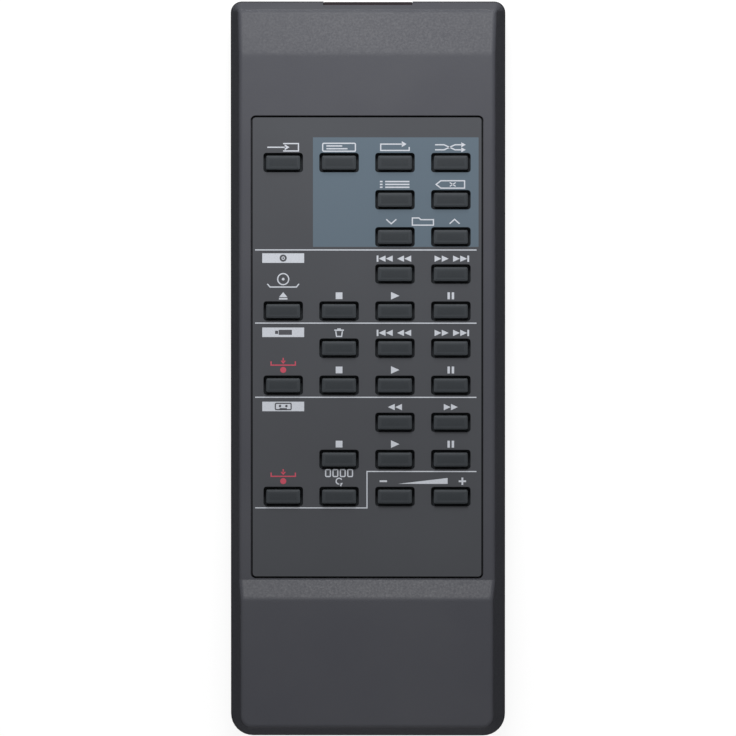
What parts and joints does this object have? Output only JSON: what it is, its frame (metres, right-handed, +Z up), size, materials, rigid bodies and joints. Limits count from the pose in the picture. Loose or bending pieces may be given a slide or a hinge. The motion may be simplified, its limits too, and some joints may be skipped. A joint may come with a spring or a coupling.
{
  "type": "infrared remote control",
  "caption": "Slim handheld infrared remote control for a disc and cassette deck, with a sloping nose, an inlaid panel of small rubber keys, a raised grip and a sliding battery door.",
  "frame": {"origin": "on the table under the middle of the case", "axes": "+Y along the case towards the infrared window, +Z up out of the key face, +X to the right of a user who points +Y at the deck"},
  "size_m": [0.0522, 0.14, 0.0217],
  "materials": {
    "case_plastic": "fine spark-textured ABS",
    "panel": "satin printed polycarbonate",
    "adhesive": "black acrylic adhesive sheet",
    "ir_window": "polished dark infrared filter",
    "key_rubber": "matt silicone rubber",
    "board": "bare phenolic board",
    "lamp_lens": "clear tinted epoxy",
    "moulded_package": "moulded epoxy",
    "resonator_coat": "dipped epoxy",
    "capacitor_can": "sleeved can",
    "cell_can": "plain sleeved cell, density near a real alkaline cell's",
    "contact_metal": "nickel-plated spring steel",
    "screw_steel": "black zinc"
  },
  "bodies": {
    "handset": {"top_case": "case_plastic", "bottom_case": "case_plastic", "face_panel": "panel", "panel_adhesive": "adhesive", "ir_window": "ir_window", "keypad_mat": "key_rubber", "circuit_board": "board", "ir_lamp": "lamp_lens", "controller_chip": "moulded_package", "ceramic_resonator": "resonator_coat", "electrolytic_capacitor": "capacitor_can", "driver_transistor": "moulded_package", "chip_resistors": "moulded_package", "cell_left": "cell_can", "cell_right": "cell_can", "front_positive_plate": "contact_metal", "front_negative_plate": "contact_metal", "front_spring": "contact_metal", "rear_bridge_plate": "contact_metal", "rear_spring": "contact_metal", "case_screws": "screw_steel"},
    "battery_door": {"battery_door": "case_plastic"},
    "key_input": {"key_input": "key_rubber"},
    "key_display": {"key_display": "key_rubber"},
    "key_repeat": {"key_repeat": "key_rubber"},
    "key_shuffle": {"key_shuffle": "key_rubber"},
    "key_program": {"key_program": "key_rubber"},
    "key_clear": {"key_clear": "key_rubber"},
    "key_folder_down": {"key_folder_down": "key_rubber"},
    "key_folder_up": {"key_folder_up": "key_rubber"},
    "key_disc_back": {"key_disc_back": "key_rubber"},
    "key_disc_forward": {"key_disc_forward": "key_rubber"},
    "key_disc_eject": {"key_disc_eject": "key_rubber"},
    "key_disc_stop": {"key_disc_stop": "key_rubber"},
    "key_disc_play": {"key_disc_play": "key_rubber"},
    "key_disc_pause": {"key_disc_pause": "key_rubber"},
    "key_memory_erase": {"key_memory_erase": "key_rubber"},
    "key_memory_back": {"key_memory_back": "key_rubber"},
    "key_memory_forward": {"key_memory_forward": "key_rubber"},
    "key_memory_record": {"key_memory_record": "key_rubber"},
    "key_memory_stop": {"key_memory_stop": "key_rubber"},
    "key_memory_play": {"key_memory_play": "key_rubber"},
    "key_memory_pause": {"key_memory_pause": "key_rubber"},
    "key_tape_rewind": {"key_tape_rewind": "key_rubber"},
    "key_tape_wind": {"key_tape_wind": "key_rubber"},
    "key_tape_stop": {"key_tape_stop": "key_rubber"},
    "key_tape_play": {"key_tape_play": "key_rubber"},
    "key_tape_pause": {"key_tape_pause": "key_rubber"},
    "key_tape_record": {"key_tape_record": "key_rubber"},
    "key_counter_reset": {"key_counter_reset": "key_rubber"},
    "key_level_down": {"key_level_down": "key_rubber"},
    "key_level_up": {"key_level_up": "key_rubber"}
  },
  "joints": [
    {"name": "battery_door_slide", "type": "slide", "parent": "handset", "child": "battery_door", "axis": [0, -1, 0], "range_m": [0, 0.062]},
    {"name": "key_input_press", "type": "slide", "parent": "handset", "child": "key_input", "axis": [0, 0, -1], "range_m": [0, 0.0008], "stiffness_N_per_m": 600},
    {"name": "key_display_press", "type": "slide", "parent": "handset", "child": "key_display", "axis": [0, 0, -1], "range_m": [0, 0.0008], "stiffness_N_per_m": 600},
    {"name": "key_repeat_press", "type": "slide", "parent": "handset", "child": "key_repeat", "axis": [0, 0, -1], "range_m": [0, 0.0008], "stiffness_N_per_m": 600},
    {"name": "key_shuffle_press", "type": "slide", "parent": "handset", "child": "key_shuffle", "axis": [0, 0, -1], "range_m": [0, 0.0008], "stiffness_N_per_m": 600},
    {"name": "key_program_press", "type": "slide", "parent": "handset", "child": "key_program", "axis": [0, 0, -1], "range_m": [0, 0.0008], "stiffness_N_per_m": 600},
    {"name": "key_clear_press", "type": "slide", "parent": "handset", "child": "key_clear", "axis": [0, 0, -1], "range_m": [0, 0.0008], "stiffness_N_per_m": 600},
    {"name": "key_folder_down_press", "type": "slide", "parent": "handset", "child": "key_folder_down", "axis": [0, 0, -1], "range_m": [0, 0.0008], "stiffness_N_per_m": 600},
    {"name": "key_folder_up_press", "type": "slide", "parent": "handset", "child": "key_folder_up", "axis": [0, 0, -1], "range_m": [0, 0.0008], "stiffness_N_per_m": 600},
    {"name": "key_disc_back_press", "type": "slide", "parent": "handset", "child": "key_disc_back", "axis": [0, 0, -1], "range_m": [0, 0.0008], "stiffness_N_per_m": 600},
    {"name": "key_disc_forward_press", "type": "slide", "parent": "handset", "child": "key_disc_forward", "axis": [0, 0, -1], "range_m": [0, 0.0008], "stiffness_N_per_m": 600},
    {"name": "key_disc_eject_press", "type": "slide", "parent": "handset", "child": "key_disc_eject", "axis": [0, 0, -1], "range_m": [0, 0.0008], "stiffness_N_per_m": 600},
    {"name": "key_disc_stop_press", "type": "slide", "parent": "handset", "child": "key_disc_stop", "axis": [0, 0, -1], "range_m": [0, 0.0008], "stiffness_N_per_m": 600},
    {"name": "key_disc_play_press", "type": "slide", "parent": "handset", "child": "key_disc_play", "axis": [0, 0, -1], "range_m": [0, 0.0008], "stiffness_N_per_m": 600},
    {"name": "key_disc_pause_press", "type": "slide", "parent": "handset", "child": "key_disc_pause", "axis": [0, 0, -1], "range_m": [0, 0.0008], "stiffness_N_per_m": 600},
    {"name": "key_memory_erase_press", "type": "slide", "parent": "handset", "child": "key_memory_erase", "axis": [0, 0, -1], "range_m": [0, 0.0008], "stiffness_N_per_m": 600},
    {"name": "key_memory_back_press", "type": "slide", "parent": "handset", "child": "key_memory_back", "axis": [0, 0, -1], "range_m": [0, 0.0008], "stiffness_N_per_m": 600},
    {"name": "key_memory_forward_press", "type": "slide", "parent": "handset", "child": "key_memory_forward", "axis": [0, 0, -1], "range_m": [0, 0.0008], "stiffness_N_per_m": 600},
    {"name": "key_memory_record_press", "type": "slide", "parent": "handset", "child": "key_memory_record", "axis": [0, 0, -1], "range_m": [0, 0.0008], "stiffness_N_per_m": 600},
    {"name": "key_memory_stop_press", "type": "slide", "parent": "handset", "child": "key_memory_stop", "axis": [0, 0, -1], "range_m": [0, 0.0008], "stiffness_N_per_m": 600},
    {"name": "key_memory_play_press", "type": "slide", "parent": "handset", "child": "key_memory_play", "axis": [0, 0, -1], "range_m": [0, 0.0008], "stiffness_N_per_m": 600},
    {"name": "key_memory_pause_press", "type": "slide", "parent": "handset", "child": "key_memory_pause", "axis": [0, 0, -1], "range_m": [0, 0.0008], "stiffness_N_per_m": 600},
    {"name": "key_tape_rewind_press", "type": "slide", "parent": "handset", "child": "key_tape_rewind", "axis": [0, 0, -1], "range_m": [0, 0.0008], "stiffness_N_per_m": 600},
    {"name": "key_tape_wind_press", "type": "slide", "parent": "handset", "child": "key_tape_wind", "axis": [0, 0, -1], "range_m": [0, 0.0008], "stiffness_N_per_m": 600},
    {"name": "key_tape_stop_press", "type": "slide", "parent": "handset", "child": "key_tape_stop", "axis": [0, 0, -1], "range_m": [0, 0.0008], "stiffness_N_per_m": 600},
    {"name": "key_tape_play_press", "type": "slide", "parent": "handset", "child": "key_tape_play", "axis": [0, 0, -1], "range_m": [0, 0.0008], "stiffness_N_per_m": 600},
    {"name": "key_tape_pause_press", "type": "slide", "parent": "handset", "child": "key_tape_pause", "axis": [0, 0, -1], "range_m": [0, 0.0008], "stiffness_N_per_m": 600},
    {"name": "key_tape_record_press", "type": "slide", "parent": "handset", "child": "key_tape_record", "axis": [0, 0, -1], "range_m": [0, 0.0008], "stiffness_N_per_m": 600},
    {"name": "key_counter_reset_press", "type": "slide", "parent": "handset", "child": "key_counter_reset", "axis": [0, 0, -1], "range_m": [0, 0.0008], "stiffness_N_per_m": 600},
    {"name": "key_level_down_press", "type": "slide", "parent": "handset", "child": "key_level_down", "axis": [0, 0, -1], "range_m": [0, 0.0008], "stiffness_N_per_m": 600},
    {"name": "key_level_up_press", "type": "slide", "parent": "handset", "child": "key_level_up", "axis": [0, 0, -1], "range_m": [0, 0.0008], "stiffness_N_per_m": 600}
  ]
}
